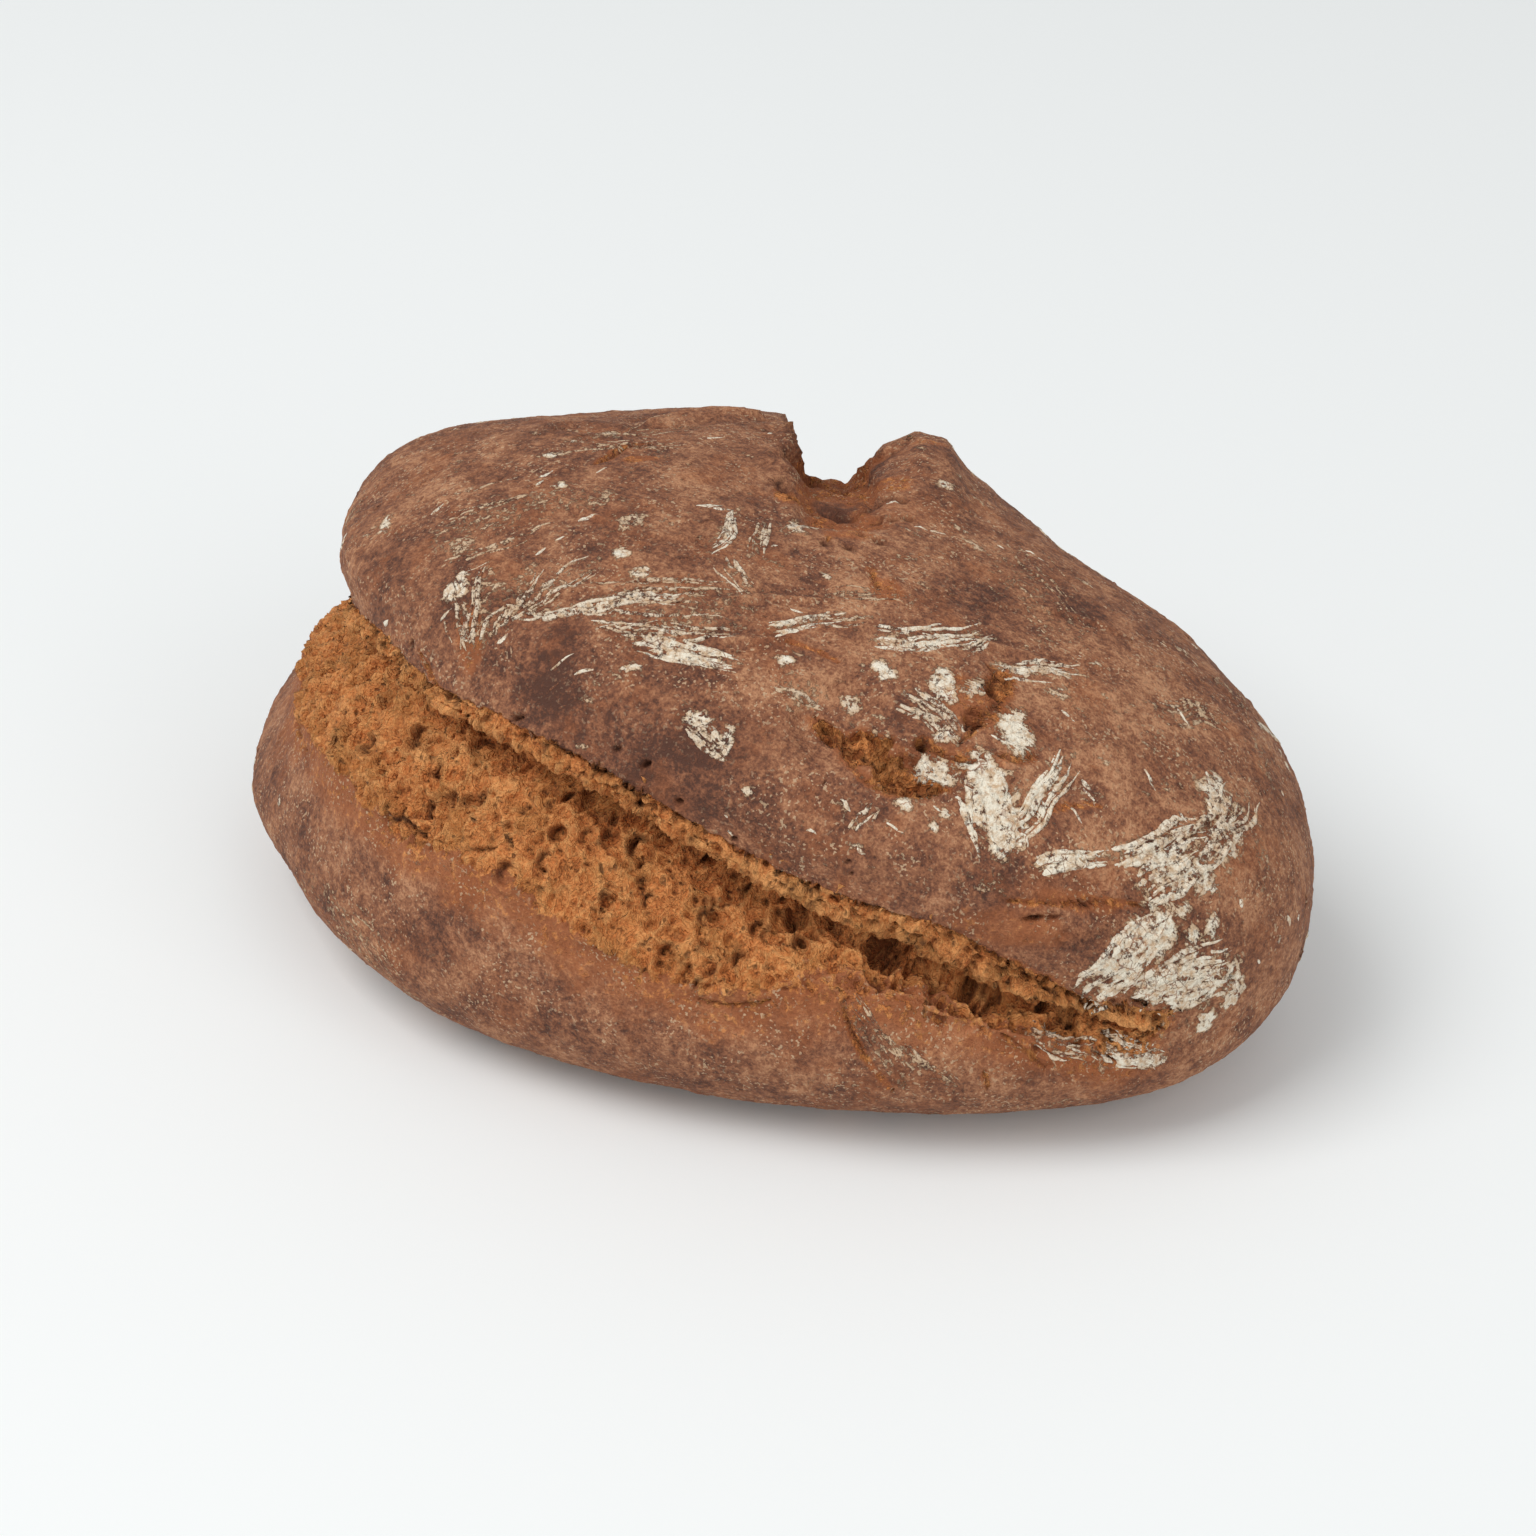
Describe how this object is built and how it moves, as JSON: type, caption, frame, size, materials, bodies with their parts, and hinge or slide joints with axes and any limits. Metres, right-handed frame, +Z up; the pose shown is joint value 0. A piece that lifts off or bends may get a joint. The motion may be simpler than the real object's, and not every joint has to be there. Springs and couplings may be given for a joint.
{
  "type": "rye bread loaf",
  "caption": "Oval free-standing rye bread loaf, uncut, with a long burst along its side under the lifted crust and a split across its crown, resting on its flat base.",
  "frame": {"origin": "middle of the loaf's outline in plan, on the flat base", "axes": "+X along the loaf to its lower, narrower end, -Y to the side that burst, +Z up"},
  "size_m": [0.2508, 0.1844, 0.1038],
  "materials": {
    "crust": "matt dry crust, brown, dusted with flour"
  },
  "bodies": {
    "root": {"loaf": "crust"}
  },
  "joints": []
}
